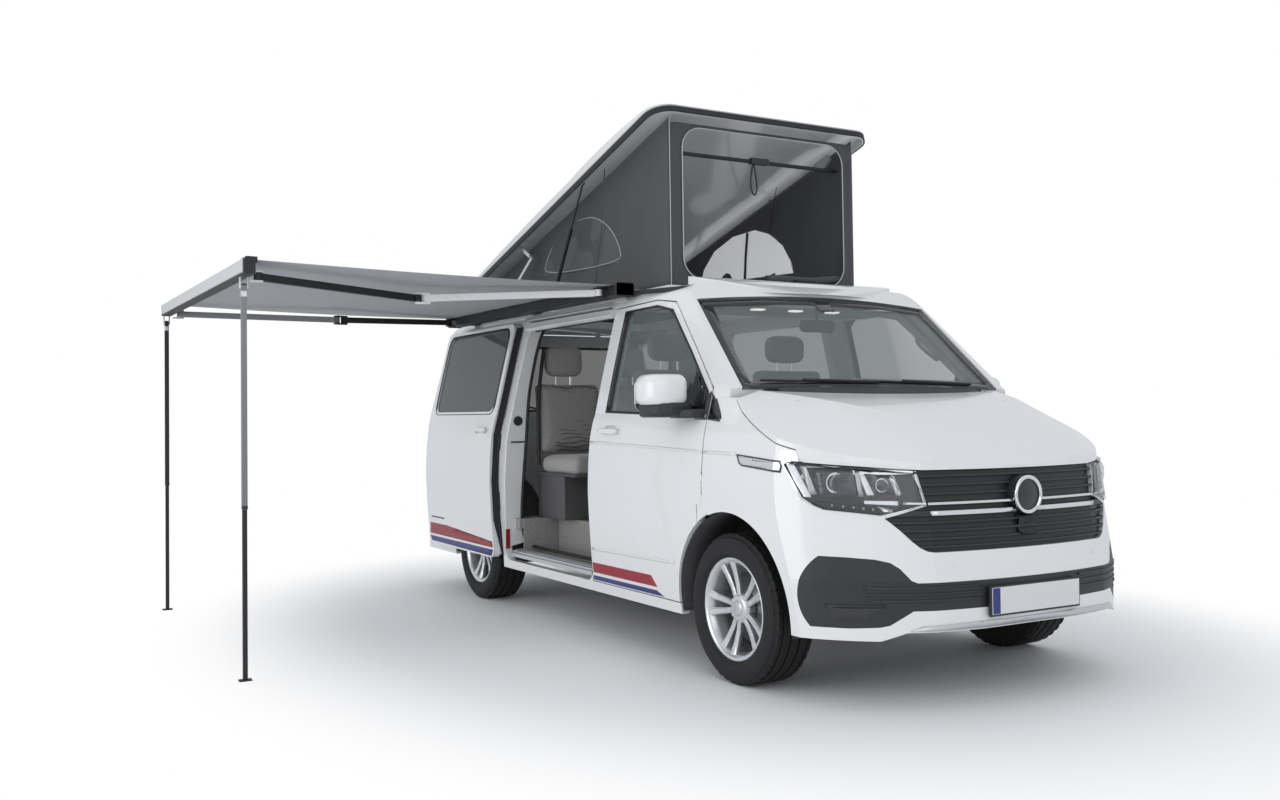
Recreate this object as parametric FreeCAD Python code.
"""Camper van with a raised pop-up roof, a side awning and an open sliding door.

Millimetres. +Z is up from the ground, the front points to -Y and the van's own right side,
with the sliding door and the awning, to -X. Every piece is built about the van's centre plane
x = 0 and moved by SHIFT_X as it is written, so that the origin lies under the middle of the box
that holds the van and its awning.
"""
import math
import os

import FreeCAD
import Part

V = FreeCAD.Vector
X_AXIS, Y_AXIS, Z_AXIS = V(1, 0, 0), V(0, 1, 0), V(0, 0, 1)

# ---- overall sizes ----
LENGTH = 4904.0
WHEELBASE = 3000.0
FRONT_OVERHANG = 909.0
TRACK = 1628.0
HUB_X = TRACK / 2
FRONT = -LENGTH / 2
REAR = LENGTH / 2
FRONT_AXLE_Y = FRONT + FRONT_OVERHANG
REAR_AXLE_Y = FRONT_AXLE_Y + WHEELBASE

# ---- wheels ----
TYRE_R = 338.0
TYRE_W = 235.0
RIM_R = 216.0
RIM_FLANGE_R = 229.0
HUB_R = 62.0
SPINDLE_R = 30.0
RUNNING = 0.05
SPOKE_PAIRS = 5
ARCH_R = 437.0
KING_X = 690.0
KING_R = 14.0
BEAD = 95.0
KNUCKLE_Z = (232.0, 462.0)

# ---- body form ----
SILL_Z = 255.0
BUMPER_BOTTOM_Z = 290.0
BODY_FOOT_Z = 250.0
WALL = 50.0
FRONT_SKIN = 25.0
ROOF_Z = 1905.0
SHUT_GAP = 6.0
BADGE_R = 82.0
BADGE_Z = 862.0
GRILLE_SLATS = ((662.0, 8.0), (694.0, 8.0), (727.0, 8.0), (760.0, 8.0), (790.0, 22.0),
                (834.0, 12.0), (876.0, 8.0), (912.0, 8.0), (948.0, 8.0))
NOSE_Z = 530.0
NOSE_LEAN = 0.17
NOSE_TUCK = 45.0
TAIL_BOW = 8.0
BONNET_LIP_Z = 905.0
CROWN_SLOPE = 0.45
CROWN_Z = 804.0
CROWN_DROP = 165.0
CROWN_HALF = 1110.0
COWL = (-1590.0, 1310.0)
SCREEN_TOP = (-1020.0, 1838.0)
SCREEN_BOW = 75.0
# half width and height up one side, in pairs that end an arc: (middle of the arc), (its end)
SIDE_ARCS = (
    ((941.0, 562.0), (952.0, 785.0)),
    ((949.0, 929.0), (936.0, 1086.0)),
    ((921.0, 1162.0), (902.0, 1222.0)),
    ((836.0, 1507.0), (766.0, 1790.0)),
    ((738.0, 1852.0), (680.0, 1884.0)),
)
SILL_HALF = 915.0
# front views of half the nose, as x outwards and z
LAMP_OUTLINE = ((540.0, 1060.0), (975.0, 1060.0), (975.0, 985.0), (903.0, 864.0), (870.0, 831.0),
                (844.0, 814.0), (676.0, 791.0), (508.0, 836.0), (534.0, 976.0))
GRILLE_HALF = ((528.0, 976.0), (502.0, 832.0), (664.0, 783.0), (615.0, 733.0), (576.0, 688.0),
               (550.0, 664.0), (521.0, 648.0), (489.0, 643.0))
TRIM_HALF = ((574.0, 524.0), (597.0, 534.0), (633.0, 582.0), (664.0, 606.0), (713.0, 619.0),
             (801.0, 627.0), (1000.0, 634.0), (1000.0, 340.0), (795.0, 340.0), (707.0, 346.0),
             (674.0, 354.0), (640.0, 378.0), (592.0, 411.0))
BUMPER_FOOT = ((615.0, 324.0), (707.0, 289.0), (1000.0, 280.0), (1000.0, 200.0))

# ---- glass ----
GLASS_DEPTH = 8.0
GLASS = 6.0

# ---- front doors and mirrors ----
MIRROR_REACH = 1148.0
MIRROR_Z = (1216.0, 1404.0)
DOOR_REAR_Y = -205.0
DOOR_FRONT_Y = -1342.0
DOOR_BOTTOM_Z = 313.0
WING_TOP_Z = 1290.0
DOOR_HINGE = (950.0, -1345.0)
DOOR_HINGE_Z = (812.0, 905.0)

# ---- sliding door ----
SLIDE_FRONT_Y = -195.0
SLIDE_REAR_Y = 985.0
SLIDE_TRAVEL = 1230.0
SLIDE_OUT = 62.0
SLIDE_TOP_Z = 1812.0

# ---- side and rear windows ----
BELT_Z = 1245.0
WINDOW_TOP_Z = 1770.0
WINDOW_R = 70.0

# ---- tailgate ----
GATE_HALF = 745.0
GATE_BOTTOM_Z = 560.0
GATE_TOP_Z = 1832.0
GATE_HINGE = (2330.0, 1838.0)
GATE_HINGE_X = (-470.0, 436.0)

# ---- bonnet ----
BONNET_HINGE = (-1527.0, 1292.0)
BONNET_ARM_X = 636.0
BONNET_POCKET = 34.0
COWL_NOTCH_X = (668.0, 700.0)

# ---- floor, engine and steering ----
STEP_IN = 580.0
STEP_Y = (-150.0, 900.0)
STEP_Z = (330.0, 350.0)
WALL_IN = SILL_HALF - WALL
FLOOR_Z = 564.0
FLOOR_T = 60.0
MEMBER_Z = 420.0
MEMBER_Y = (-1000.0, -200.0, 700.0)
ENGINE_Z = (450.0, 1020.0)
WHEEL_TILT = 25.0
STEER_HUB = V(410.0, -930.0, 1130.0)
STEER_R = 178.0
STEM_R = 22.0

# ---- seats ----
SEAT_X = 410.0
SEAT_Y = -560.0
SEAT_WIDE = 520.0
SEAT_Z = (800.0, 960.0)
SEAT_BACK_Z = 1520.0
SEAT_HEAD_Z = (1540.0, 1690.0)
BENCH_HALF = 750.0
BENCH_Y = (420.0, 950.0)
BENCH_Z = (860.0, 980.0)
BENCH_BACK_Z = 1440.0
BENCH_HEAD_Z = (1480.0, 1636.0)
BENCH_HEAD_X = (-535.0, 0.0, 535.0)
HEAD_HALF = 125.0

# ---- raised roof ----
SHELL_HALF = 745.0
SHELL_FRONT_Y = -755.0
SHELL_REAR_Y = 2290.0
SHELL_BASE_Z = 1912.0
SHELL_HIGH = 78.0
SHELL_WALL = 14.0
ROOF_POLE = (2690.0, 1900.0)
ROOF_OPEN = 15.5
TENT_HALF = 630.0
TENT_FRONT_Y = -575.0
TENT_REAR_Y = 2090.0
TENT_T = 12.0
TENT_TUCK = 2.0
COLLAR_Z = 1907.0
BROW_Z = 1934.0
BROW_REAR_Y = -762.0

# ---- roof struts and lifting arms, beside the tent ----
LINK_X = 690.0
LINK_STEP = 14.0
LINK_PIN_R = 6.0
STRUT_FOOT = (763.0, 1930.0)
STRUT_TOP = (328.0, 2608.0)
STRUT_TUBE = 500.0
STRUT_TUBE_R = 11.0
STRUT_ROD_R = 5.0
ARM_FOOT = (1589.0, 1930.0)
ARM_ELBOW = (1058.0, 2251.0)
ARM_HEAD = (1230.0, 2345.0)

# ---- awning ----
AWNING_Y0 = -410.0
AWNING_Y1 = 2130.0
CASE_FRONT_X = -872.0
CASE_DEEP = 104.0
CASE_Z = (1862.0, 1926.0)
SHOULDER_X = -912.0
SHOULDER_IN = 135.0
SHOULDER_Z = 1882.0
ARM = 967.0
ARM_OPEN = 68.9
ARM_STOWED = 1.7
ARM_DROP = 34.0
ARM_WIDE = 28.0
ARM_HIGH = 36.0
ARM_SHIFT = 17.0
BOSS_R = 20.0
PIN_R = 8.0
EAR = 8.0
EAR_GAP = 2.5
RAIL_GAP = 38.0
RAIL_DEEP = 52.0
RAIL_Z = (1880.0, 1950.0)
LEG_Y = (-268.0, 2112.0)
LEG = 24.0
LEG_WALL = 1.6
LEG_FIT = 0.4
LEG_PIN_Z = 1836.0
LEG_PIN_R = 5.0
LEG_TUBE_END_Z = 795.0
LEG_LAP = 75.0
FOOT_T = 8.0
PEG_R = 4.5
PEG_OUT = 19.0
FABRIC_T = 4.0
FABRIC_Z = 1914.0


# ---- helpers ----
def on_side(x):
    return lambda y, z: V(x, y, z)


def on_front(y):
    return lambda x, z: V(x, y, z)


def on_plan(z):
    return lambda x, y: V(x, y, z)


def face(place, start, *steps):
    """A flat face from a start point and steps: a point ends a line, a pair of points an arc."""
    edges = []
    at = start
    for step in steps:
        if isinstance(step[0], tuple):
            mid, end = step
            edges.append(Part.Arc(place(*at), place(*mid), place(*end)).toShape())
        else:
            end = step
            edges.append(Part.makeLine(place(*at), place(*end)))
        at = end
    if math.dist(at, start) > 1e-6:
        edges.append(Part.makeLine(place(*at), place(*start)))
    return Part.Face(Part.Wire(edges))


def side_prism(x0, x1, start, *steps):
    return face(on_side(x0), start, *steps).extrude(X_AXIS * (x1 - x0))


def front_prism(y0, y1, start, *steps):
    return face(on_front(y0), start, *steps).extrude(Y_AXIS * (y1 - y0))


def plan_prism(z0, z1, start, *steps):
    return face(on_plan(z0), start, *steps).extrude(Z_AXIS * (z1 - z0))


def box(x0, x1, y0, y1, z0, z1):
    return Part.makeBox(x1 - x0, y1 - y0, z1 - z0, V(x0, y0, z0))


def rounded(u0, u1, v0, v1, r):
    """A rounded rectangle's start and steps, in any plane."""
    k = r * (1 - math.sqrt(0.5))
    return (
        (u0 + r, v0),
        (u1 - r, v0),
        ((u1 - k, v0 + k), (u1, v0 + r)),
        (u1, v1 - r),
        ((u1 - k, v1 - k), (u1 - r, v1)),
        (u0 + r, v1),
        ((u0 + k, v1 - k), (u0, v1 - r)),
        (u0, v0 + r),
        ((u0 + k, v0 + k), (u0 + r, v0)),
    )


def rod(start, end, r):
    return Part.makeCylinder(r, (end - start).Length, start, end - start)


def beam(start, end, wide, high):
    """A straight bar of a wide by high section between two points, its section's height near +Z."""
    along = end - start
    side = along.cross(Z_AXIS).normalize()
    up = side.cross(along).normalize()
    a = start - side * (wide / 2) - up * (high / 2)
    ring = [a, a + side * wide, a + side * wide + up * high, a + up * high, a]
    return Part.Face(Part.makePolygon(ring)).extrude(along)


def fuse(shapes):
    whole = shapes[0]
    for other in shapes[1:]:
        whole = whole.fuse(other)
    return whole.removeSplitter()


def cut(shape, *tools):
    for tool in tools:
        shape = shape.cut(tool)
    return shape


def mirrored(shape):
    return shape.mirror(V(0, 0, 0), X_AXIS)


def turned(shape, centre, axis, degrees):
    moved = shape.copy()
    moved.rotate(centre, axis, degrees)
    return moved


# ---- the body's outer form ----
def side_points(sign, inset):
    """The side's arcs for one side, from the sill up."""
    rows = []
    for (mid_w, mid_z), (end_w, end_z) in SIDE_ARCS:
        drop = inset if end_z > WINDOW_TOP_Z + WALL else 0.0
        mid = (sign * (mid_w - inset), mid_z - drop / 2)
        rows.append((mid, (sign * (end_w - inset), end_z - drop)))
    return rows


def section_prism(inset):
    """The cross-section's sides and roof, along the whole length."""
    foot = BODY_FOOT_Z - inset * 2
    right = side_points(-1, inset)
    left = side_points(1, inset)
    steps = [(-(SILL_HALF - inset), foot)]
    steps += right
    steps.append(((0.0, ROOF_Z - inset), left[-1][1]))
    ends = [(SILL_HALF - inset, foot)] + [end for _, end in left]
    for i in range(len(left) - 1, -1, -1):
        steps.append((left[i][0], ends[i]))
    start = (SILL_HALF - inset, foot)
    return front_prism(FRONT - 200, REAR + 200, start, *steps)


def plan_face(z, inset):
    """The bumper-height plan: a bowed nose, round corners, straight sides and a bowed tail."""
    wide = 960.0 - inset
    nose = FRONT + inset
    tail = REAR - inset + TAIL_BOW
    return face(
        on_plan(z),
        (-wide, nose + 502), ((-778.0 + inset, nose + 226), (-500.0 + inset / 2, nose + 52)),
        ((0.0, nose), (500.0 - inset / 2, nose + 52)),
        ((778.0 - inset, nose + 226), (wide, nose + 502)),
        (wide, tail - 202), ((915.0 - inset, tail - 52), (780.0 - inset, tail - 12)),
        ((0.0, tail), (-780.0 + inset, tail - 12)),
        ((-915.0 + inset, tail - 52), (-wide, tail - 202)),
    )


def behind_screen(inset):
    """Everything behind the bowed windscreen's surface, moved in by inset."""
    slope = V(0, SCREEN_TOP[0] - COWL[0], SCREEN_TOP[1] - COWL[1])
    base = COWL[0] + inset * slope.Length / slope.z - slope.y * 0.2
    bow = base + SCREEN_BOW * 1.7
    plan = face(on_plan(COWL[1] - slope.z * 0.2), (-1100.0, bow), ((0.0, base), (1100.0, bow)),
                (1100.0, REAR + 600), (-1100.0, REAR + 600))
    return plan.extrude(slope * 1.5)


def above_bonnet(inset):
    """All that lies above the bonnet's crown, an arc across the van that climbs to the rear."""
    side_z = CROWN_Z - CROWN_DROP - inset
    profile = face(on_front(FRONT - 400), (-CROWN_HALF, 100.0), (-CROWN_HALF, side_z),
                   ((0.0, CROWN_Z - inset), (CROWN_HALF, side_z)), (CROWN_HALF, 100.0))
    crown = profile.extrude(V(0, 1, CROWN_SLOPE) * 1800)
    ahead = box(-1100, 1100, FRONT - 100, -1300, 700, 1800).cut(behind_screen(inset - 4.0))
    return ahead.cut(crown)


def envelope(inset):
    """The van's outer form with its walls moved in by inset, and left open below when inset."""
    foot = BODY_FOOT_Z - inset * 2
    nose = FRONT + inset
    low = side_prism(
        -1100, 1100, (nose + NOSE_TUCK, foot), (nose - NOSE_TUCK, NOSE_Z - 60),
        (nose - NOSE_TUCK, BONNET_LIP_Z - inset),
        ((-1985.0, 1186.0 - inset), (COWL[0] + inset, COWL[1] - inset)),
        (-1400.0 + inset, 1350.0 - inset), (REAR + 100, 1350.0 - inset), (REAR + 100, foot),
    )
    screen = behind_screen(inset)
    roof_box = box(-1100, 1100, COWL[0] - 100, REAR + 100, 1240.0, ROOF_Z + 100)
    tail = side_prism(
        -1100, 1100, (COWL[0] - 200, foot), (COWL[0] - 200, ROOF_Z + 100),
        (REAR - 140 - inset, ROOF_Z + 100), (REAR - 128 - inset, 1850.0),
        ((REAR - 50 - inset, 1420.0), (REAR - 20 - inset, 1000.0)), (REAR - inset, 620.0),
        (REAR - inset, 420.0), (REAR - 40 - inset, foot),
    )
    nose_up = plan_face(NOSE_Z, inset).extrude(V(0, NOSE_LEAN, 1) * (ROOF_Z - NOSE_Z + 200))
    nose_low = plan_face(foot - 10, inset).extrude(Z_AXIS * (NOSE_Z - foot + 10))
    plan_high = plan_face(foot - 10, inset).extrude(Z_AXIS * (ROOF_Z + 200 - foot))
    front_half = box(-1100, 1100, FRONT - 100, 0, foot - 10, ROOF_Z + 200)
    plan = nose_up.fuse(nose_low).common(front_half)
    plan = plan.fuse(plan_high.cut(front_half))
    section = section_prism(inset)
    cab = screen.common(roof_box).common(tail)
    thirds = (low.common(front_half), low.common(tail).cut(front_half), cab)
    whole = fuse([third.common(plan).common(section) for third in thirds])
    return whole.cut(above_bonnet(inset))


OUTER = envelope(0.0)
SKIN = OUTER.cut(envelope(WALL))
FRONT_PANEL = OUTER.cut(envelope(FRONT_SKIN))
PANE = envelope(GLASS_DEPTH).cut(envelope(GLASS_DEPTH + GLASS))


# ---- outlines that several panels share ----
def arch_tool(y, r):
    return Part.makeCylinder(r, 2400.0, V(-1200, y, TYRE_R), X_AXIS)


def door_prism(x0, x1, grow):
    """A front door's outline, larger all round by grow."""
    g = grow
    front = DOOR_FRONT_Y - g
    return side_prism(
        x0, x1, (DOOR_REAR_Y + g, DOOR_BOTTOM_Z - g), (DOOR_REAR_Y + g, 1797.0 + g),
        (-650.0, 1812.0 + g), (-850.0, 1786.0 + g), (-1140.0 - g / 2, 1525.0 + g),
        (front, 1335.0 + g), (front, 800.0), (-1303.0 - g, 722.0),
        (-1303.0 - g, DOOR_BOTTOM_Z - g),
    )


def door_window(x0, x1):
    return side_prism(
        x0, x1, (-335.0, BELT_Z - 5), (-335.0, 1768.0), (-660.0, 1776.0), (-826.0, 1742.0),
        (-1094.0, 1510.0), (-1300.0, 1318.0), (-1300.0, BELT_Z - 30),
    )


def window(y0, y1, x0, x1):
    return side_prism(x0, x1, *rounded(y0, y1, BELT_Z, WINDOW_TOP_Z, WINDOW_R))


def slide_prism(x0, x1, grow):
    return side_prism(
        x0, x1, *rounded(SLIDE_FRONT_Y - grow, SLIDE_REAR_Y + grow, DOOR_BOTTOM_Z - grow,
                         SLIDE_TOP_Z + grow, 60.0 + grow))


def gate_prism(grow):
    return front_prism(
        REAR - 300, REAR + 50, *rounded(-GATE_HALF - grow, GATE_HALF + grow,
                                        GATE_BOTTOM_Z - grow, GATE_TOP_Z + grow, 60.0 + grow))


def gate_window():
    return front_prism(REAR - 400, REAR + 50, *rounded(-625.0, 625.0, BELT_Z, 1745.0, 70.0))


def screen_opening():
    """The windscreen's opening, looking from the front."""
    return front_prism(FRONT, -700.0, (-815.0, 1325.0), ((0.0, 1345.0), (815.0, 1325.0)),
                       (750.0, 1790.0), ((0.0, 1824.0), (-750.0, 1790.0)))


def bonnet_prism(grow):
    """What lies above the bonnet's shut line, seen from the side, ahead of the windscreen."""
    return side_prism(
        -1100, 1100, (FRONT - 60, 970.0 - grow), (-2325.0, 977.0 - grow),
        (-2200.0, 994.0 - grow), (-2010.0, 1012.0 - grow), (-1990.0, 1065.0 - grow),
        ((-1800.0, 1134.0 - grow), (-1525.0 + grow, 1282.0 - grow)),
        (-1525.0 + grow, 1500.0),
        (FRONT - 60, 1500.0),
    ).cut(behind_screen(grow - 2 * SHUT_GAP))


def bumper_prism():
    """The bumper's side-view outline, ahead of its seam with the wings."""
    low = BUMPER_BOTTOM_Z
    return side_prism(-1100, 1100, (FRONT - 60, low), (-1700.0, low), (-1815.0, 640.0),
                      (-2016.0, 852.0), (-2016.0, 975.0), (FRONT - 60, 975.0))


def nose_prism(half):
    """An outline and its mirror image, joined over the centre, seen from the front."""
    points = list(half) + [(-x, z) for x, z in reversed(half)]
    return front_prism(FRONT - 60, -1880.0, *points)


def both_sides(points):
    other = [(-x, z) for x, z in points]
    return front_prism(FRONT - 60, -1880.0, *points), front_prism(FRONT - 60, -1880.0, *other)


def lamp_prisms():
    """The head lamps' outlines, ahead of their raked rear edge."""
    ahead = side_prism(-1100, 1100, (FRONT - 60, 700.0), (-2066.0, 822.0), (-2021.0, 858.0),
                       (-1930.0, 1026.0), (-1930.0, 1080.0), (FRONT - 60, 1080.0))
    return [half.common(ahead) for half in both_sides(LAMP_OUTLINE)]


def trim_prism():
    """The dark lower band, which ends in a round edge ahead of the wheel arch."""
    ahead = side_prism(-1100, 1100, (FRONT - 60, 300.0), (-2095.0, 322.0),
                       ((-2031.0, 440.0), (-2110.0, 636.0)), (FRONT - 60, 700.0))
    return nose_prism(TRIM_HALF).common(ahead)


# ---- body panels ----
def body_side(sign):
    """One body side: pillars, sill, roof edge and the lower wall, with its openings cut."""
    x0, x1 = (690.0, 1000.0) if sign > 0 else (-1000.0, -690.0)
    zone = box(x0, x1, -1490.0, REAR + 20, SILL_Z, ROOF_Z + 20)
    ahead = side_prism(x0, x1, (-1600.0, 200.0), (-1240.0, 200.0), (-1240.0, 500.0),
                       (-1290.0, 722.0), (-1330.0, 800.0), (DOOR_FRONT_Y + 2, WING_TOP_Z),
                       (-1600.0, WING_TOP_Z))
    panel = cut(
        SKIN.common(zone), ahead, door_prism(x0, x1, SHUT_GAP), arch_tool(FRONT_AXLE_Y, ARCH_R),
        arch_tool(REAR_AXLE_Y, ARCH_R - 10), gate_prism(SHUT_GAP), screen_opening(),
        bonnet_prism(SHUT_GAP), box(x0, x1, REAR - 260, REAR + 30, 200.0, GATE_BOTTOM_Z - 8),
        window(1065.0, 2190.0, x0, x1), tail_lamp_prism(sign),
    )
    if sign > 0:
        return panel.cut(window(-130.0, 920.0, x0, x1))
    return panel.cut(slide_prism(x0, x1, SHUT_GAP))


def tail_lamp_prism(sign):
    x0, x1 = sorted((sign * (GATE_HALF + 16), sign * 1000.0))
    return front_prism(REAR - 110, REAR + 40, (x0, 800.0), (x1, 800.0), (x1, 1180.0), (x0, 1180.0))


def roof_panel():
    """The fixed roof with the sleeping opening, and the raised brow over the windscreen."""
    zone = box(-690, 690, -1300, REAR, 1700, ROOF_Z + 20)
    hole = plan_prism(1700, ROOF_Z + 50, *rounded(-520.0, 520.0, -420.0, 1750.0, 60.0))
    panel = cut(SKIN.common(zone), hole, screen_opening(), gate_prism(SHUT_GAP))
    brow = side_prism(-640, 640, (-1060.0, 1838.0), ((-900.0, 1908.0), (BROW_REAR_Y, BROW_Z)),
                      (BROW_REAR_Y, 1880.0), (-800.0, 1838.0))
    brow = brow.common(plan_prism(1800, 1960, (-640.0, BROW_REAR_Y), (-640.0, -870.0),
                                  ((0.0, -1060.0), (640.0, -870.0)), (640.0, BROW_REAR_Y)))
    collar = box(-TENT_HALF - 20, TENT_HALF + 20, TENT_FRONT_Y - 20, TENT_REAR_Y + 20,
                 ROOF_Z - 40, COLLAR_Z).cut(hole)
    collar = collar.cut(box(-TENT_HALF + 60, TENT_HALF - 60, TENT_FRONT_Y + 60, TENT_REAR_Y - 60,
                            ROOF_Z - 50, COLLAR_Z + 10)).cut(envelope(WALL))
    feet = []
    for y, z in (STRUT_FOOT, ARM_FOOT):
        for sign in (-1, 1):
            x0, x1 = sorted((sign * (LINK_X + 7), sign * (LINK_X + 17)))
            feet.append(box(x0, x1, y - 16, y + 16, 1850.0, z + 12).cut(OUTER))
            x2, x3 = sorted((sign * (TENT_HALF + 10), sign * (LINK_X + 17)))
            feet.append(box(x2, x3, y - 16, y + 16, 1850.0, COLLAR_Z - 4).cut(OUTER))
            pin = rod(V(sign * (LINK_X - 7), y, z), V(sign * (LINK_X + 8), y, z), LINK_PIN_R)
            feet.append(pin)
    whole = fuse([panel, brow, collar] + feet)
    for x in GATE_HINGE_X:
        fixed, _, clear_fixed, _ = hinge_knuckles(V(x, *GATE_HINGE), X_AXIS)
        base = box(x, x + 16, GATE_HINGE[0] - 24, GATE_HINGE[0], GATE_HINGE[1], GATE_HINGE[1] + 10)
        whole = fuse([whole.cut(clear_fixed), base, fixed])
    return whole


def floor_pan():
    """The floor, its cross members, its front rails and the firewall."""
    plate = box(-WALL_IN, WALL_IN, -1340, REAR - WALL - 20, FLOOR_Z - FLOOR_T, FLOOR_Z)
    wall = box(-WALL_IN + 20, WALL_IN - 20, -1340, -1310, FLOOR_Z - FLOOR_T, 1240)
    members = [box(-700, 700, y, y + 80, MEMBER_Z, FLOOR_Z - FLOOR_T) for y in MEMBER_Y]
    for sign in (-1, 1):
        x0, x1 = sorted((sign * 780.0, sign * WALL_IN))
        members.append(box(x0, x1, -1370, -1310, FLOOR_Z, 1240).common(envelope(WALL)))
        x0, x1 = sorted((sign * 380.0, sign * 430.0))
        rail = box(x0, x1, FRONT - 20, -1310, MEMBER_Z, FLOOR_Z - FLOOR_T)
        members.append(rail.common(envelope(FRONT_SKIN)))
    plate = plate.common(envelope(WALL + 0.3))
    step = box(-WALL_IN - 1, -STEP_IN, *STEP_Y, 300, FLOOR_Z + 10)
    whole = fuse([plate, wall] + members).cut(step)
    for tool in wheel_wells(24.0):
        whole = whole.cut(tool)
    return whole


def wheel_wells(grow):
    """The space of the four wheel arches, grown all round, from the outside inwards."""
    tools = []
    for y, inner in ((REAR_AXLE_Y, 622.0), (FRONT_AXLE_Y, 440.0)):
        for sign in (-1, 1):
            x0, x1 = sorted((sign * (inner + 24 - grow), sign * 1100.0))
            tools.append(Part.makeCylinder(ARCH_R + grow, x1 - x0, V(x0, y, TYRE_R), X_AXIS))
    return tools


def wheel_houses():
    """The four inner arches, each a shell with a wall towards the van's middle."""
    inside = envelope(WALL + 0.3)
    shells = []
    for outer, inner in zip(wheel_wells(24.0), wheel_wells(12.0)):
        b = outer.BoundBox
        keep = box(b.XMin, b.XMax, b.YMin, b.YMax, TYRE_R + 60, 1200).common(inside)
        shells.append(outer.cut(inner).common(keep))
    return Part.makeCompound(shells)


def entry_step():
    """The step well inside the sliding door."""
    tread = box(-WALL_IN, -STEP_IN, *STEP_Y, *STEP_Z).common(envelope(WALL + 0.3))
    riser = box(-STEP_IN - 20, -STEP_IN, *STEP_Y, STEP_Z[0], FLOOR_Z)
    return tread.fuse(riser).removeSplitter()


def wings():
    """Both front wings, from the bumper seam to the door."""
    rear = DOOR_FRONT_Y - SHUT_GAP
    zone = side_prism(-1100, 1100, (-2016.0, 852.0), (-1815.0, 640.0), (-1700.0, 200.0),
                      (-1303.0 - SHUT_GAP, 200.0), (-1303.0 - SHUT_GAP, 722.0),
                      (rear, 800.0), (rear, WING_TOP_Z - 0.3), (-1560.0, WING_TOP_Z - 0.3),
                      (-1940.0, 1110.0), (-2016.0, 1090.0))
    out = []
    skin = OUTER.cut(envelope(12.0)).common(zone)
    tools = lamp_prisms()
    for sign in (-1, 1):
        x0, x1 = sorted((sign * 600.0, sign * 1000.0))
        half = skin.common(box(x0, x1, -2200, -1200, 200, 1500))
        half = cut(half, arch_tool(FRONT_AXLE_Y, ARCH_R), bonnet_prism(SHUT_GAP), *tools)
        fixed = []
        for z in DOOR_HINGE_Z:
            knuckle_fixed, _, clear_fixed, _ = hinge_knuckles(door_pin(sign, z), Z_AXIS)
            half = half.cut(clear_fixed)
            fixed.append(knuckle_fixed)
        half = max(half.Solids, key=lambda part: part.Volume)
        out.append(fuse([half] + fixed))
    return Part.makeCompound(out)


def door_pin(sign, z):
    return V(sign * DOOR_HINGE[0], DOOR_HINGE[1], z)


def hinge_knuckles(start, axis):
    """A small hinge: the fixed knuckle with its pin, the moving one, and what each must clear."""
    r, pin, long, play = 6.0, 3.0, 16.0, 0.3
    middle = start + axis * long
    end = middle + axis * long
    fixed = rod(start, middle, r).fuse(rod(start, end, pin))
    moving = rod(middle + axis * play, end, r).cut(rod(start, end + axis, pin + RUNNING))
    clear_fixed = rod(middle - axis * play, end + axis * 2, r + 2)
    clear_moving = rod(start - axis * 2, middle + axis * play, r + 2)
    return fixed, moving, clear_fixed, clear_moving


def front_bumper():
    zone = FRONT_PANEL.common(bumper_prism())
    panel = cut(zone, nose_prism(GRILLE_HALF), trim_prism(), arch_tool(FRONT_AXLE_Y, ARCH_R),
                bonnet_prism(SHUT_GAP), nose_prism(BUMPER_FOOT), *lamp_prisms())
    return Part.makeCompound([s for s in panel.Solids if s.Volume > 1e5])


def front_trim():
    """The dark lower band, and the slatted grille with a plain round badge place."""
    zone = FRONT_PANEL.common(bumper_prism())
    band = zone.common(trim_prism())
    opening = nose_prism(GRILLE_HALF).cut(bonnet_prism(SHUT_GAP))
    back = envelope(FRONT_SKIN - 8).cut(envelope(FRONT_SKIN + 8)).common(opening)
    slats = []
    layer = OUTER.cut(envelope(FRONT_SKIN - 4)).common(opening)
    for z, high in GRILLE_SLATS:
        slats.append(layer.common(box(-720, 720, FRONT - 60, -2000, z, z + high)))
    badge = Part.makeCylinder(BADGE_R, 60, V(0, FRONT + 36, BADGE_Z), Y_AXIS)
    return Part.makeCompound([band] + fuse([back] + slats + [badge]).Solids)


def lamps():
    """Head lamps in the front corners and upright tail lamps."""
    out = []
    shell = FRONT_PANEL.cut(bonnet_prism(SHUT_GAP))
    for tool in lamp_prisms():
        out += [s for s in shell.common(tool).Solids if s.Volume > 1e5]
    for sign in (-1, 1):
        zone = SKIN.common(tail_lamp_prism(sign))
        out += [s for s in zone.Solids if s.Volume > 1e5]
    return Part.makeCompound(out)


def rear_bumper():
    zone = box(-1000, 1000, REAR - 258, REAR + 30, SILL_Z, GATE_BOTTOM_Z - 10)
    return SKIN.common(zone)


def bonnet():
    """The bonnet with the two arms that hold it to its hinge pins."""
    y, z = BONNET_HINGE
    panel = FRONT_PANEL.common(bonnet_prism(0.0))
    arms = []
    for sign in (-1, 1):
        x0, x1 = sorted((sign * (BONNET_ARM_X + 10), sign * (BONNET_ARM_X + 24)))
        arms.append(side_prism(x0, x1, (-1700.0, 1240.0), (y, z - 10), (y, z + 10),
                               (-1600.0, 1290.0), (-1700.0, 1270.0)))
        arms.append(Part.makeCylinder(12.0, x1 - x0, V(x0, y, z), X_AXIS))
    whole = fuse([panel] + arms)
    return whole.cut(rod(V(-800, y, z), V(800, y, z), 5.0 + RUNNING))


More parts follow.
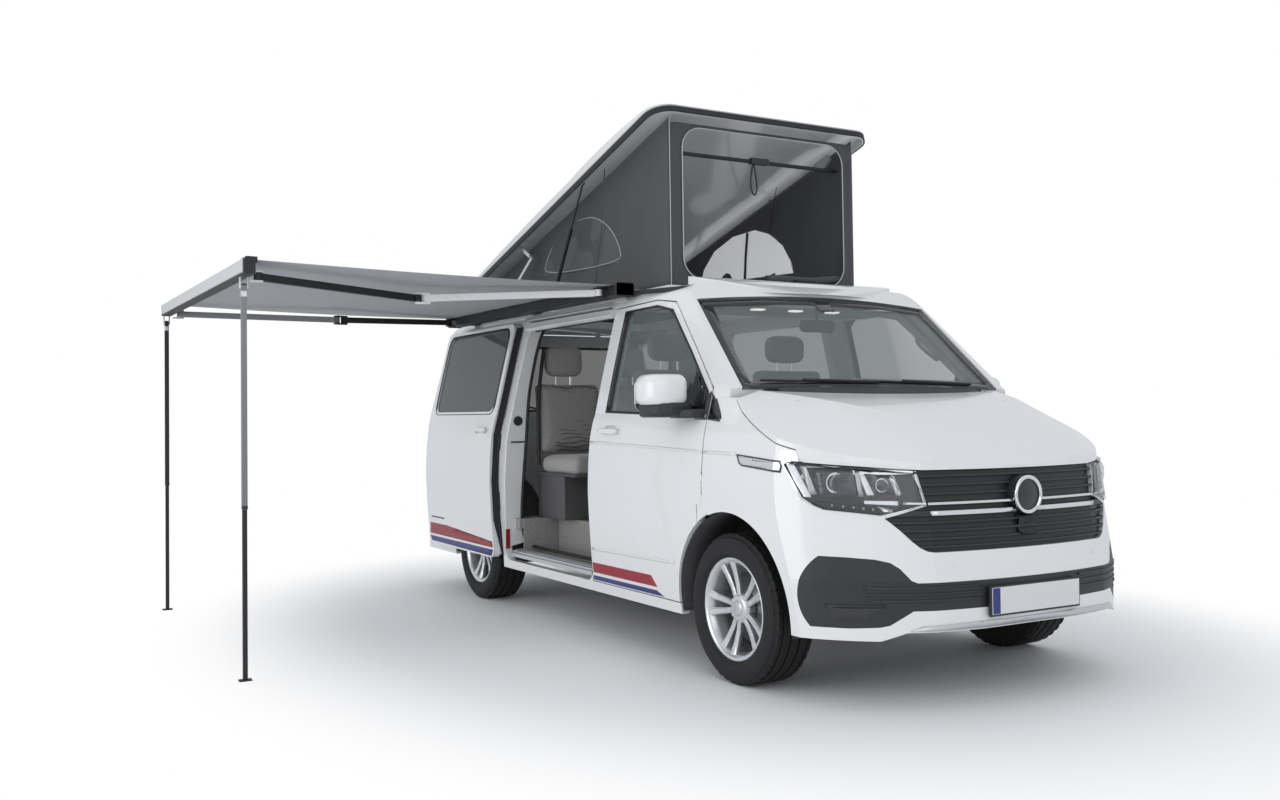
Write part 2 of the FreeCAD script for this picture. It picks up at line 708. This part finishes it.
def cowl_panel():
    """The scuttle between the bonnet and the windscreen, as wide as the windscreen."""
    zone = SKIN.common(box(-690, 690, -1700, -1440, 1230, 1400))
    panel = cut(zone, screen_opening(), bonnet_prism(SHUT_GAP))
    y, z = BONNET_HINGE
    for sign in (-1, 1):
        x0, x1 = sorted((sign * BONNET_ARM_X, sign * (BONNET_ARM_X + BONNET_POCKET)))
        panel = panel.cut(box(x0, x1, -1720, y + 17, 1200, 1420))
        panel = panel.fuse(rod(V(x0 - 6, y, z), V(x1 + 6, y, z), 5.0))
        x0, x1 = sorted(sign * x for x in COWL_NOTCH_X)
        panel = panel.cut(box(x0, x1, y - 12, y + 24, z + 20, z + 130))
    return panel.removeSplitter()


def windscreen():
    return PANE.common(screen_opening())


def body_glass():
    """Fixed windows in the body sides."""
    panes = [PANE.common(window(1065.0, 2190.0, -1000, -600)),
             PANE.common(window(1065.0, 2190.0, 600, 1000)),
             PANE.common(window(-130.0, 920.0, 600, 1000))]
    return Part.makeCompound([s for p in panes for s in p.Solids])


# ---- doors ----
def front_door(sign):
    x0, x1 = (600.0, 1000.0) if sign > 0 else (-1000.0, -600.0)
    panel = SKIN.common(door_prism(x0, x1, 0.0))
    panel = cut(panel, door_window(x0, x1), arch_tool(FRONT_AXLE_Y, ARCH_R + SHUT_GAP))
    moving = []
    for z in DOOR_HINGE_Z:
        _, knuckle_moving, _, clear_moving = hinge_knuckles(door_pin(sign, z), Z_AXIS)
        panel = cut(panel, clear_moving, rod(door_pin(sign, z), door_pin(sign, z + 34), 3.0 + RUNNING))
        moving.append(knuckle_moving)
    return fuse([panel] + moving)


def door_glass(sign):
    x0, x1 = (600.0, 1000.0) if sign > 0 else (-1000.0, -600.0)
    return PANE.common(door_window(x0, x1))


def mirror(sign):
    """A door mirror: a rounded housing on a short foot."""
    head = plan_prism(*MIRROR_Z, (940.0, -1250.0), ((1098.0, -1246.0), (MIRROR_REACH, -1165.0)),
                      ((1142.0, -1085.0), (1110.0, -1045.0)), (955.0, -1045.0))
    head = head.common(front_prism(-1400, -1000, *rounded(935.0, MIRROR_REACH + 1, *MIRROR_Z,
                                                          55.0)))
    foot = box(880.0, 990.0, -1300.0, -1170.0, MIRROR_Z[0] - 16, MIRROR_Z[0] + 26)
    whole = fuse([head, foot]).cut(OUTER)
    return whole if sign > 0 else mirrored(whole)


def sliding_door():
    """The open door, moved out and back from its opening, with its roller arms."""
    panel = SKIN.common(slide_prism(-1000, -600, 0.0))
    panel = panel.cut(window(SLIDE_FRONT_Y + 65, SLIDE_REAR_Y - 65, -1000, -600))
    panel.translate(V(-SLIDE_OUT, SLIDE_TRAVEL, 0))
    arm = box(-985.0, -925.0, 1080.0, 1180.0, 1110.0, 1140.0)
    low_arm = box(-960.0, -850.0, 1045.0, 1085.0, 335.0, 365.0)
    arm = arm.cut(OUTER)
    return fuse([panel, arm, low_arm.cut(OUTER)])


def sliding_glass():
    pane = PANE.common(window(SLIDE_FRONT_Y + 65, SLIDE_REAR_Y - 65, -1000, -600))
    pane.translate(V(-SLIDE_OUT, SLIDE_TRAVEL, 0))
    return pane


def tailgate():
    whole = SKIN.common(gate_prism(0.0)).cut(gate_window())
    for x in GATE_HINGE_X:
        _, moving, _, clear_moving = hinge_knuckles(V(x, *GATE_HINGE), X_AXIS)
        base = box(x + 16.3, x + 32, GATE_HINGE[0] - 24, GATE_HINGE[0], GATE_HINGE[1] - 14,
                   GATE_HINGE[1])
        base = base.cut(rod(V(x, *GATE_HINGE), V(x + 40, *GATE_HINGE), 3.0 + RUNNING))
        whole = fuse([whole.cut(clear_moving), base, moving])
    return whole


def tailgate_glass():
    return PANE.common(gate_window())


# ---- raised roof ----
def raised(shape):
    return turned(shape, V(0, *ROOF_POLE), X_AXIS, -ROOF_OPEN)


def raised_point(y, z):
    """Where a point of the closed roof goes when the roof is up."""
    a = math.radians(ROOF_OPEN)
    dy, dz = y - ROOF_POLE[0], z - ROOF_POLE[1]
    return (ROOF_POLE[0] + dy * math.cos(a) + dz * math.sin(a),
            ROOF_POLE[1] - dy * math.sin(a) + dz * math.cos(a))


def shell_form(inset):
    """The closed roof shell's crowned tray, moved in by inset and left open below."""
    plan = plan_prism(SHELL_BASE_Z - inset, SHELL_BASE_Z + SHELL_HIGH + 30,
                      *rounded(-SHELL_HALF + inset, SHELL_HALF - inset, SHELL_FRONT_Y + inset,
                               SHELL_REAR_Y - inset, 120.0 - inset))
    top = SHELL_BASE_Z - inset
    crown = side_prism(-800, 800, (SHELL_FRONT_Y - 20, top - 1), (SHELL_FRONT_Y - 20, top + 38),
                       ((SHELL_FRONT_Y + 250, top + 66), (300.0, top + SHELL_HIGH)),
                       ((1500.0, top + 70), (SHELL_REAR_Y + 20, top + 40)),
                       (SHELL_REAR_Y + 20, top - 1))
    return plan.common(crown)


def roof_shell():
    """The lid, hollow below, with lugs for the struts and the lifting arms."""
    lid = shell_form(0.0).cut(shell_form(SHELL_WALL))
    whole = raised(lid)
    lugs = []
    inside = raised(shell_form(0.0))
    for (y, z), step in ((STRUT_TOP, 0.0), (ARM_HEAD, LINK_STEP)):
        for sign in (-1, 1):
            x0, x1 = sorted((sign * (LINK_X + step + 7), sign * (LINK_X + step + 17)))
            lug = box(x0, x1, y - 14, y + 14, z - 12, z + 12)
            lug = lug.fuse(box(x0, x1, y - 14, y + 14, z, z + 90).common(inside))
            lugs.append(lug)
            lugs.append(rod(V(sign * (LINK_X + step - 7), y, z),
                            V(sign * (LINK_X + step + 8), y, z), LINK_PIN_R))
    return fuse([whole] + lugs)


def tent_form(inset):
    """The tent's closed outline between the collar and the raised lid, moved in by inset."""
    low = COLLAR_Z + 0.3 - inset
    y0, y1 = TENT_FRONT_Y + inset, TENT_REAR_Y - inset
    base = SHELL_BASE_Z + TENT_TUCK
    front = raised_point(SHELL_FRONT_Y + 60 + inset, base + inset)
    rear = raised_point(SHELL_REAR_Y - 60 - inset, base + inset)
    return side_prism(-TENT_HALF + inset, TENT_HALF - inset, (y0, low), front, rear, (y1, low))


def tent():
    """Four cloth walls, open to the lid and the cabin, with the big front window open."""
    walls = tent_form(0.0).cut(tent_form(TENT_T))
    opening = front_prism(TENT_FRONT_Y - 200, TENT_FRONT_Y + 200,
                          *rounded(-555.0, 555.0, 1945.0, 2770.0, 120.0))
    return walls.cut(opening).cut(raised(shell_form(0.0).cut(shell_form(SHELL_WALL))))


def eye(y, z, x=None):
    x = LINK_X if x is None else x
    return Part.makeCylinder(13.0, 10.0, V(x - 5, y, z), X_AXIS)


def eye_hole(y, z):
    return Part.makeCylinder(LINK_PIN_R + RUNNING, 60.0, V(LINK_X - 30, y, z), X_AXIS)


def pair(shape):
    return Part.makeCompound([shape, mirrored(shape)])


def strut_line():
    foot, top = V(LINK_X, *STRUT_FOOT), V(LINK_X, *STRUT_TOP)
    return foot, top, (top - foot).normalize()


def strut_tubes():
    foot, _, along = strut_line()
    tube = rod(foot + along * 26, foot + along * STRUT_TUBE, STRUT_TUBE_R)
    tube = tube.fuse(beam(foot, foot + along * 40, 10.0, 14.0))
    bore = rod(foot + along * 30, foot + along * (STRUT_TUBE + 1), STRUT_ROD_R + RUNNING)
    return pair(cut(fuse([tube, eye(*STRUT_FOOT)]), bore, eye_hole(*STRUT_FOOT)))


def strut_rods():
    _, top, along = strut_line()
    reach = (V(0, *STRUT_TOP) - V(0, *STRUT_FOOT)).Length
    shaft = rod(top - along * (reach - STRUT_TUBE + 120), top, STRUT_ROD_R)
    return pair(fuse([shaft, eye(*STRUT_TOP)]).cut(eye_hole(*STRUT_TOP)))


def link(start, end, x):
    """A flat lifting arm between two pins."""
    bar = beam(V(x, *start), V(x, *end), 10.0, 24.0)
    return fuse([bar, eye(*start, x)]).cut(eye_hole(*start))


def roof_arms_low():
    low = link(ARM_FOOT, ARM_ELBOW, LINK_X)
    pin = rod(V(LINK_X - 5, *ARM_ELBOW), V(LINK_X + LINK_STEP + 3, *ARM_ELBOW), LINK_PIN_R)
    return pair(fuse([low, pin]))


def roof_arms_high():
    """The upper arms, a step further out; each stops short of its elbow pin."""
    high = link(ARM_HEAD, ARM_ELBOW, LINK_X + LINK_STEP)
    gap = Part.makeCylinder(2.5 * LINK_PIN_R, 60.0, V(LINK_X, *ARM_ELBOW), X_AXIS)
    return pair(max(high.cut(gap).Solids, key=lambda part: part.Volume))


# ---- awning ----
AWNING_MID_Y = (AWNING_Y0 + AWNING_Y1) / 2
ARM_RAD = math.radians(ARM_OPEN)
SHOULDER = V(SHOULDER_X, AWNING_Y0 + SHOULDER_IN, SHOULDER_Z)
ELBOW = SHOULDER + V(-ARM * math.sin(ARM_RAD), ARM * math.cos(ARM_RAD), -ARM_DROP)
LEAD = SHOULDER + V(-2 * ARM * math.sin(ARM_RAD), 0, 0)
RAIL_X = LEAD.x - RAIL_GAP - RAIL_DEEP / 2


def rear_copy(shape):
    return shape.mirror(V(0, AWNING_MID_Y, 0), Y_AXIS)


def fork(pin, reach, x_side):
    """Two ears and a pin that hold an arm's boss, reaching from the pin to x_side."""
    x0, x1 = sorted((pin.x - x_side * BOSS_R, pin.x + x_side * reach))
    half = ARM_HIGH / 2 + 1
    ears = [box(x0, x1, pin.y - 18, pin.y + 18, pin.z + half, pin.z + half + EAR),
            box(x0, x1, pin.y - 18, pin.y + 18, pin.z - half - EAR, pin.z - half)]
    post = rod(pin - V(0, 0, half + EAR), pin + V(0, 0, half + EAR), PIN_R)
    return fuse(ears + [post])


def boss(pin):
    half = V(0, 0, ARM_HIGH / 2)
    return rod(pin - half, pin + half, BOSS_R)


def boss_hole(pin):
    half = V(0, 0, ARM_HIGH)
    return rod(pin - half, pin + half, PIN_R + RUNNING)


def arm_bar(start, end, start_cut, end_cut):
    """An arm's bar, shifted to the side that keeps it off its neighbour when folded."""
    along = (end - start).normalize()
    side = V(along.y, -along.x, 0).normalize() * ARM_SHIFT
    a = start + along * start_cut + side
    b = end - along * end_cut + side
    return beam(a, b, ARM_WIDE, ARM_HIGH), along, side


def upper_arm():
    """From the shoulder to the elbow, with the elbow's fork."""
    bar, along, side = arm_bar(SHOULDER, ELBOW, 8.0, 40.0)
    flat = V(along.x, along.y, 0).normalize()
    end = ELBOW - flat * 30 + side
    reach = ARM_HIGH / 2 + EAR_GAP
    block = beam(end - flat * 34, end, ARM_WIDE, 2 * (reach + EAR))
    ears = []
    for low in (reach, -reach - EAR):
        lift = V(0, 0, low + EAR / 2)
        ears.append(beam(end - flat * 10 + lift - side * 0.35, ELBOW + flat * 16 + lift
                         - side * 0.35 + side, 40.0, EAR))
    half = V(0, 0, reach + EAR)
    post = rod(ELBOW - half, ELBOW + half, PIN_R)
    whole = fuse([bar, boss(SHOULDER), block] + ears + [post])
    return whole.cut(boss_hole(SHOULDER))


def forearm():
    """From the elbow to the lead rail, with a boss at each end."""
    bar, _, _ = arm_bar(ELBOW, LEAD, 6.0, 6.0)
    whole = fuse([bar, boss(ELBOW), boss(LEAD)])
    return cut(whole, boss_hole(ELBOW), boss_hole(LEAD))


def awning_case():
    """The cassette along the roof's edge, its brackets and the two shoulder forks."""
    back = CASE_FRONT_X + CASE_DEEP
    case = box(CASE_FRONT_X, back, AWNING_Y0, AWNING_Y1, *CASE_Z)
    slot = box(CASE_FRONT_X - 1, CASE_FRONT_X + 12, AWNING_Y0 + 30, AWNING_Y1 - 30, FABRIC_Z,
               FABRIC_Z + FABRIC_T)
    feet = [box(back - 1, -640.0, y, y + 90, CASE_Z[0] + 2, CASE_Z[0] + 20).cut(OUTER)
            for y in (AWNING_Y0 + 60, AWNING_MID_Y, AWNING_Y1 - 250)]
    feet = [max(f.Solids, key=lambda part: -part.CenterOfMass.x) for f in feet]
    forks = [fork(SHOULDER, CASE_FRONT_X - SHOULDER_X, 1)]
    forks.append(rear_copy(forks[0]))
    return fuse([case.cut(slot)] + feet + forks)


def leg_top(y):
    return V(RAIL_X, y, LEG_PIN_Z)


def lead_rail():
    """The front rail with the arms' forks and the clevises for the two legs."""
    x0 = LEAD.x - RAIL_GAP - RAIL_DEEP
    x1 = LEAD.x - RAIL_GAP
    rail = box(x0, x1, AWNING_Y0, AWNING_Y1, *RAIL_Z)
    slot = box(x1 - 12, x1 + 1, AWNING_Y0 + 30, AWNING_Y1 - 30, FABRIC_Z, FABRIC_Z + FABRIC_T)
    forks = [fork(LEAD, RAIL_GAP + 4, -1)]
    forks.append(rear_copy(forks[0]))
    ears = []
    for y in LEG_Y:
        for sign in (-1, 1):
            a, b = sorted((RAIL_X + sign * (LEG / 2 + 1), RAIL_X + sign * (LEG / 2 + 7)))
            ears.append(box(a, b, y - 12, y + 12, LEG_PIN_Z - 12, RAIL_Z[0]))
        ears.append(rod(V(RAIL_X - LEG / 2 - 7, y, LEG_PIN_Z), V(RAIL_X + LEG / 2 + 7, y,
                        LEG_PIN_Z), LEG_PIN_R))
    return fuse([rail.cut(slot)] + forks + ears)


def leg_tube(y):
    top = leg_top(y)
    half = LEG / 2
    inner = half - LEG_WALL
    tube = box(top.x - half, top.x + half, y - half, y + half, LEG_TUBE_END_Z, LEG_PIN_Z)
    bore = box(top.x - inner, top.x + inner, y - inner, y + inner, LEG_TUBE_END_Z - 1,
               LEG_PIN_Z - 40)
    head = Part.makeCylinder(half, LEG, V(top.x - half, y, LEG_PIN_Z), X_AXIS)
    hole = Part.makeCylinder(LEG_PIN_R + RUNNING, LEG + 2, V(top.x - half - 1, y, LEG_PIN_Z),
                             X_AXIS)
    return cut(fuse([tube, head]), bore, hole)


def leg_rod(y):
    top = leg_top(y)
    half = LEG / 2 - LEG_WALL - LEG_FIT
    shaft = box(top.x - half, top.x + half, y - half, y + half, 0, LEG_TUBE_END_Z + LEG_LAP)
    foot = box(top.x - 28, top.x + 28, y - 16, y + 16, 0, FOOT_T)
    peg = Part.makeCylinder(PEG_R, FOOT_T + 2, V(top.x - PEG_OUT, y, -1))
    return fuse([shaft, foot]).cut(peg)


def awning_fabric():
    return box(LEAD.x - RAIL_GAP - 11, CASE_FRONT_X + 11, AWNING_Y0 + 31, AWNING_Y1 - 31,
               FABRIC_Z + 0.3, FABRIC_Z + FABRIC_T - 0.3)


# ---- wheels and axles ----
def wheel_place(shape, sign, y):
    """Moves a left-hand wheel piece, made about the X axis, to its corner of the van."""
    placed = shape.copy() if sign > 0 else mirrored(shape)
    placed.translate(V(sign * HUB_X, y, TYRE_R))
    return placed


def around_x(start, *steps):
    """A ring about the X axis from an outline of (offset along X, radius)."""
    return face(lambda x, r: V(x, 0, r), start, *steps).revolve(V(0, 0, 0), X_AXIS, 360)


def tyre():
    half = TYRE_W / 2
    return around_x(
        (-BEAD, RIM_R), (-BEAD, RIM_FLANGE_R + 2), ((-half, 280.0), (-half + 14, 324.0)),
        ((-half + 22, 334.0), (-half + 36, TYRE_R)), (half - 36, TYRE_R),
        ((half - 22, 334.0), (half - 14, 324.0)), ((half, 280.0), (BEAD, RIM_FLANGE_R + 2)),
        (BEAD, RIM_R),
    )


def rim():
    """Barrel, flanges, hub and five pairs of spokes."""
    lip = BEAD + 6
    barrel = around_x((-lip, 200.0), (-lip, RIM_FLANGE_R), (-BEAD, RIM_FLANGE_R),
                      (-BEAD, RIM_R), (BEAD, RIM_R), (BEAD, RIM_FLANGE_R), (lip, RIM_FLANGE_R),
                      (lip, 205.0))
    hub = around_x((20.0, SPINDLE_R + RUNNING), (20.0, HUB_R), (78.0, HUB_R),
                   (78.0, SPINDLE_R + RUNNING))
    spokes = []
    for i in range(SPOKE_PAIRS):
        for lean in (-11.0, 11.0):
            a = V(60.0, 0, HUB_R - 12)
            b = V(84.0, 30.0 * lean / 11.0, 210.0)
            spoke = beam(a, b, 26.0, 24.0)
            spokes.append(turned(spoke, V(0, 0, 0), X_AXIS, i * 360.0 / SPOKE_PAIRS))
    return fuse([barrel, hub] + spokes).cut(
        Part.makeCylinder(SPINDLE_R + RUNNING, 400, V(-200, 0, 0), X_AXIS))


def knuckle(sign):
    """Upright with the wheel's spindle and a socket at each end of the steering axis."""
    z0, z1 = KNUCKLE_Z
    block = box(KING_X - 30, KING_X + 34, FRONT_AXLE_Y - 38, FRONT_AXLE_Y + 38, z0, z1)
    steer = box(KING_X - 30, KING_X, FRONT_AXLE_Y + 30, FRONT_AXLE_Y + 130, 300, 324)
    spindle = rod(V(KING_X + 30, FRONT_AXLE_Y, TYRE_R), V(HUB_X + 76, FRONT_AXLE_Y, TYRE_R),
                  SPINDLE_R)
    collar = rod(V(KING_X + 30, FRONT_AXLE_Y, TYRE_R), V(HUB_X + 19.5, FRONT_AXLE_Y, TYRE_R), 55)
    sockets = Part.makeCylinder(KING_R + RUNNING, z1 - z0 + 2, V(KING_X, FRONT_AXLE_Y, z0 - 1))
    sockets = sockets.cut(box(0, 1000, -3000, 0, z0 + 40, z1 - 40))
    whole = fuse([block, steer, spindle, collar]).cut(sockets)
    return whole if sign > 0 else mirrored(whole)


def front_axle():
    """Subframe, lower arms and spring struts."""
    z1 = KNUCKLE_Z[1]
    z0 = KNUCKLE_Z[0]
    y = FRONT_AXLE_Y
    halves = [box(-420, 420, y - 100, y + 100, 205, 260)]
    for sign in (-1, 1):
        arm = beam(V(sign * 400, y, 215), V(sign * (KING_X + 16), y, 215), 60.0, 20.0)
        ball = rod(V(sign * KING_X, y, 215), V(sign * KING_X, y, z0 + 38), KING_R)
        peg = rod(V(sign * KING_X, y, z1 - 38), V(sign * KING_X, y, z1 + 30), KING_R)
        x0, x1 = sorted((sign * (KING_X - 70), sign * (KING_X + 14)))
        bridge = box(x0, x1, y - 20, y + 20, z1 + 6, z1 + 30)
        strut = rod(V(sign * (KING_X - 50), y, z1 + 10),
                    V(sign * (KING_X - 50), y, TYRE_R + ARCH_R + 11), 26)
        x0, x1 = sorted((sign * 230, sign * 330))
        block = box(x0, x1, y - 60, y + 60, 250, ENGINE_Z[0])
        halves += [arm, ball, block]
        halves.append(fuse([peg, bridge, strut]))
    return Part.makeCompound(fuse(halves).Solids)


def engine():
    return box(-330, 330, -2120, -1480, *ENGINE_Z)


def rear_axle():
    """Cross beam with spindles, and the coil springs that carry the floor."""
    y = REAR_AXLE_Y
    pieces = [box(-640, 640, y - 45, y + 45, TYRE_R - 45, TYRE_R + 45)]
    for sign in (-1, 1):
        pieces.append(rod(V(sign * 600, y, TYRE_R), V(sign * (HUB_X + 19.5), y, TYRE_R), 55))
        pieces.append(rod(V(sign * 600, y, TYRE_R), V(sign * (HUB_X + 76), y, TYRE_R),
                          SPINDLE_R))
        pieces.append(rod(V(sign * 500, y, TYRE_R), V(sign * 500, y, FLOOR_Z - FLOOR_T), 48))
    return fuse(pieces)


def underbody():
    """Fuel tank, and the exhaust with its silencer."""
    low = FLOOR_Z - FLOOR_T
    tank = box(-560, -60, -100, 680, 300, low)
    silencer = rod(V(330, 640, MEMBER_Z - 80), V(330, 1180, MEMBER_Z - 80), 80)
    pipe = rod(V(330, -1200, MEMBER_Z - 80), V(330, 1300, MEMBER_Z - 80), 28)
    return Part.makeCompound([tank, fuse([silencer, pipe])])


# ---- cabin ----
def seat(x, y, wide):
    """A seat on a box base: cushion, leaning back and head rest."""
    low, top = SEAT_Z
    base = box(x - wide / 2 + 40, x + wide / 2 - 40, y - 210, y + 190, FLOOR_Z, low)
    cushion = box(x - wide / 2, x + wide / 2, y - 260, y + 240, low, top)
    back = side_prism(x - wide / 2 + 10, x + wide / 2 - 10, (y + 190, top), (y + 320, top),
                      (y + 420, SEAT_BACK_Z), (y + 330, SEAT_BACK_Z))
    head = box(x - 130, x + 130, y + 345, y + 440, *SEAT_HEAD_Z)
    posts = [rod(V(x + dx, y + 385, SEAT_BACK_Z - 20), V(x + dx, y + 385, SEAT_BACK_Z + 40), 7)
             for dx in (-60, 60)]
    return fuse([base, cushion, back, head] + posts)


def front_seats():
    return Part.makeCompound([seat(x, SEAT_Y, SEAT_WIDE) for x in (-SEAT_X, SEAT_X)])


def rear_bench():
    """The three-place sleeping bench on its box."""
    low, top = BENCH_Z
    front, rear = BENCH_Y
    base = box(-BENCH_HALF + 10, BENCH_HALF - 10, front + 50, rear + 60, FLOOR_Z, low)
    cushion = box(-BENCH_HALF, BENCH_HALF, front, rear, low, top)
    back = side_prism(-BENCH_HALF, BENCH_HALF, (rear - 50, top), (rear + 80, top),
                      (rear + 120, BENCH_BACK_Z), (rear + 10, BENCH_BACK_Z))
    heads = []
    for x in BENCH_HEAD_X:
        heads.append(box(x - HEAD_HALF, x + HEAD_HALF, rear + 25, rear + 115, *BENCH_HEAD_Z))
        heads.append(rod(V(x, rear + 65, BENCH_BACK_Z - 20), V(x, rear + 65, BENCH_HEAD_Z[0] + 20),
                         9))
    return fuse([base, cushion, back] + heads)


def dashboard():
    body = side_prism(-850, 850, (-1310.0, 900.0), (-1310.0, 1240.0), (-1390.0, 1290.0),
                      (-1250.0, 1325.0), (-1040.0, 1255.0), (-995.0, 1130.0), (-1045.0, 900.0))
    return body.common(envelope(WALL)).cut(steering_stem(RUNNING, 30.0))


def steering_stem(play, more):
    """The steering shaft, along its leaning axis, wider by play and longer by more."""
    stem = Part.makeCylinder(STEM_R + play, 130.0 + more, V(0, -130 - more, 0), Y_AXIS)
    stem.rotate(V(0, 0, 0), X_AXIS, WHEEL_TILT)
    stem.translate(STEER_HUB)
    return stem


def steering_wheel():
    """Ring, spokes and column, leaning back towards the driver."""
    ring = Part.makeTorus(STEER_R, 15.0, V(0, 0, 0), Y_AXIS)
    hub = Part.makeCylinder(60.0, 40.0, V(0, -20, 0), Y_AXIS)
    bar = box(-STEER_R, STEER_R, -10, 8, -18, 18)
    wheel = fuse([ring, hub, bar])
    wheel.rotate(V(0, 0, 0), X_AXIS, WHEEL_TILT)
    wheel.translate(STEER_HUB)
    return wheel.fuse(steering_stem(0.0, 0.0)).removeSplitter()


# ---- every node ----
def nodes():
    made = {
        "side_left": body_side(1), "side_right": body_side(-1), "roof_panel": roof_panel(),
        "floor_pan": floor_pan(), "wheel_houses": wheel_houses(),
        "entry_step": entry_step(), "front_wings": wings(), "front_bumper": front_bumper(),
        "front_trim": front_trim(), "lamps": lamps(), "rear_bumper": rear_bumper(),
        "bonnet": bonnet(), "cowl_panel": cowl_panel(), "windscreen": windscreen(),
        "side_glass": body_glass(), "sliding_door": sliding_door(),
        "sliding_door_glass": sliding_glass(),
        "tailgate": tailgate(), "tailgate_glass": tailgate_glass(),
        "dashboard": dashboard(), "steering_wheel": steering_wheel(),
        "front_seats": front_seats(), "rear_bench": rear_bench(),
        "roof_shell": roof_shell(), "tent": tent(), "strut_tubes": strut_tubes(),
        "strut_rods": strut_rods(), "roof_arms_low": roof_arms_low(),
        "roof_arms_high": roof_arms_high(), "awning_case": awning_case(),
        "awning_fabric": awning_fabric(), "lead_rail": lead_rail(),
        "engine": engine(), "underbody": underbody(), "front_axle": front_axle(),
        "rear_axle": rear_axle(),
    }
    for side, sign in (("left", 1), ("right", -1)):
        made["door_" + side] = front_door(sign)
        made["door_glass_" + side] = door_glass(sign)
        made["mirror_" + side] = mirror(sign)
        made["knuckle_" + side] = knuckle(sign)
        for end, y in (("front", FRONT_AXLE_Y), ("rear", REAR_AXLE_Y)):
            made["tyre_%s_%s" % (end, side)] = wheel_place(tyre(), sign, y)
            made["rim_%s_%s" % (end, side)] = wheel_place(rim(), sign, y)
    for end, y, place in (("front", LEG_Y[0], lambda s: s), ("rear", LEG_Y[1], rear_copy)):
        made["upper_arm_" + end] = place(upper_arm())
        made["forearm_" + end] = place(forearm())
        made["leg_tube_" + end] = leg_tube(y)
        made["leg_rod_" + end] = leg_rod(y)
    return made


SHIFT_X = -(MIRROR_REACH + LEAD.x - RAIL_GAP - RAIL_DEEP) / 2


def main():
    os.makedirs("parts", exist_ok=True)
    for name, shape in sorted(nodes().items()):
        placed = shape.copy()
        placed.translate(V(SHIFT_X, 0, 0))
        placed.exportStep("parts/%s.step" % name)
        b = placed.BoundBox
        print(name, len(placed.Solids), placed.isValid(), [round(v) for v in (
            b.XMin, b.XMax, b.YMin, b.YMax, b.ZMin, b.ZMax)], round(placed.Volume / 1e6, 2))
    print("shift", SHIFT_X, "elbow", ELBOW, "lead", LEAD)


main()
